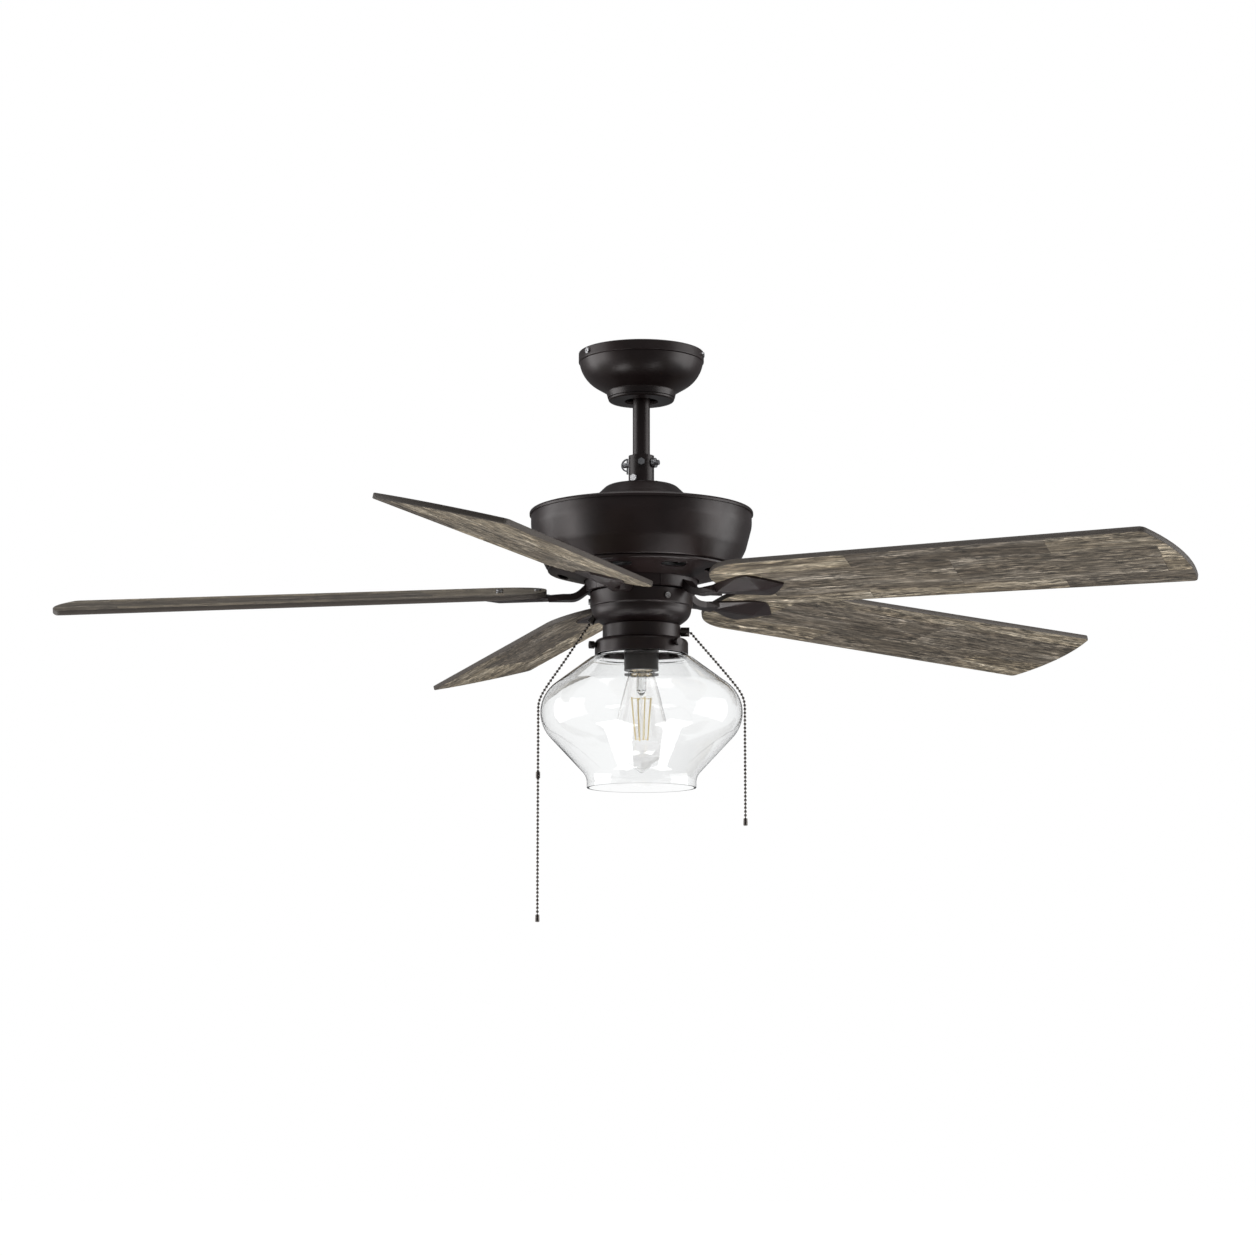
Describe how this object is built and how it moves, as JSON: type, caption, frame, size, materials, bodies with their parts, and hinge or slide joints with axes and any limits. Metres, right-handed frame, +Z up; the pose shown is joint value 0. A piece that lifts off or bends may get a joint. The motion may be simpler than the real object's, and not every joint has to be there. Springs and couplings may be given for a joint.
{
  "type": "ceiling fan with light",
  "caption": "Hanging fan with pitched plank blades on a short downrod, a domed motor housing, and a clear glass shade round one bulb, worked by pull chains.",
  "frame": {"origin": "centre of the two outlet box screw slots, on the ceiling plane", "axes": "+Z up along the fan's axis, +X towards the light's pull chain, +Y towards the reverse switch"},
  "size_m": [1.2292, 1.2722, 0.647],
  "materials": {
    "bronze": "satin dark bronze",
    "plated_steel": "dull plated",
    "bright_steel": "bright zinc",
    "chain_bronze": "satin dark bronze",
    "lamination": "bare steel sheets",
    "copper": "enamelled copper",
    "cast_aluminium": "as cast",
    "cream_plastic": "matt",
    "black_plastic": "matt",
    "socket_plastic": "satin",
    "brass_shell": "bright",
    "bulb_glass": "clear, faintly warm",
    "clear_glass": "clear",
    "filament": "matt, pale yellow",
    "weathered_wood": "weathered grey-brown planks, satin"
  },
  "bodies": {
    "ceiling_mount": {"hanger_plate": "plated_steel", "hanger_socket": "plated_steel", "canopy": "bronze", "canopy_band": "bronze", "canopy_cover": "bronze", "canopy_screws": "bright_steel"},
    "fan_frame": {"hanger_ball": "plated_steel", "ball_cross_pin": "bright_steel", "downrod": "bronze", "motor_yoke": "bronze", "clevis_pin": "bright_steel", "cotter_clip": "bright_steel", "set_screws": "bright_steel", "motor_shaft": "bright_steel", "stator_core": "lamination", "stator_windings": "copper", "motor_bearings": "bright_steel", "top_cover": "bronze", "motor_housing": "bronze", "lower_cover": "bronze", "cover_screws": "bright_steel", "switch_plate": "plated_steel", "switch_housing": "bronze", "fan_speed_switch": "cream_plastic", "capacitor": "black_plastic", "reverse_switch": "black_plastic", "chain_bushings": "chain_bronze", "light_neck": "bronze", "light_switch": "cream_plastic", "shade_fitter": "bronze", "lamp_socket": "socket_plastic", "bulb_base": "brass_shell", "bulb_glass": "bulb_glass", "bulb_stem": "clear_glass", "bulb_filaments": "filament", "glass_shade": "clear_glass"},
    "rotor": {"rotor_case": "cast_aluminium", "rotor_ring": "lamination", "flywheel": "cast_aluminium", "blade_iron_1": "bronze", "blade_iron_2": "bronze", "blade_iron_3": "bronze", "blade_iron_4": "bronze", "blade_iron_5": "bronze", "blade_1": "weathered_wood", "blade_2": "weathered_wood", "blade_3": "weathered_wood", "blade_4": "weathered_wood", "blade_5": "weathered_wood", "rotor_screws": "bright_steel"},
    "reverse_slider": {"reverse_knob": "black_plastic"},
    "clamp_1": {"thumbscrew_1": "bronze"},
    "clamp_2": {"thumbscrew_2": "bronze"},
    "clamp_3": {"thumbscrew_3": "bronze"},
    "fan_chain": {"fan_chain_upper": "chain_bronze", "fan_chain_lower": "chain_bronze", "fan_chain_pull": "chain_bronze"},
    "light_chain": {"light_chain_upper": "chain_bronze", "light_chain_lower": "chain_bronze", "light_chain_pull": "chain_bronze"}
  },
  "joints": [
    {"name": "fan_swing", "type": "hinge", "parent": "ceiling_mount", "child": "fan_frame", "pos_m": [0, 0, -0.028], "axis": [1, 0, 0], "range_deg": [-15, 15]},
    {"name": "blade_spin", "type": "hinge", "parent": "fan_frame", "child": "rotor", "pos_m": [0, 0, -0.21], "axis": [0, 0, 1], "continuous": true},
    {"name": "reverse_slide", "type": "slide", "parent": "fan_frame", "child": "reverse_slider", "axis": [1, 0, 0], "range_m": [0, 0.005]},
    {"name": "clamp_1_travel", "type": "slide", "parent": "fan_frame", "child": "clamp_1", "axis": [0.2588, 0.9659, 0], "range_m": [0, 0.006]},
    {"name": "clamp_2_travel", "type": "slide", "parent": "fan_frame", "child": "clamp_2", "axis": [-0.9659, -0.2588, 0], "range_m": [0, 0.006]},
    {"name": "clamp_3_travel", "type": "slide", "parent": "fan_frame", "child": "clamp_3", "axis": [0.7071, -0.7071, 0], "range_m": [0, 0.006]},
    {"name": "fan_chain_pull", "type": "slide", "parent": "fan_frame", "child": "fan_chain", "axis": [0, 0, -1], "range_m": [0, 0.005], "stiffness_N_per_m": 600, "springref_m": -0.004, "deforming": ["fan_chain_upper"]},
    {"name": "light_chain_pull", "type": "slide", "parent": "fan_frame", "child": "light_chain", "axis": [0, 0, -1], "range_m": [0, 0.005], "stiffness_N_per_m": 600, "springref_m": -0.004, "deforming": ["light_chain_upper"]}
  ]
}
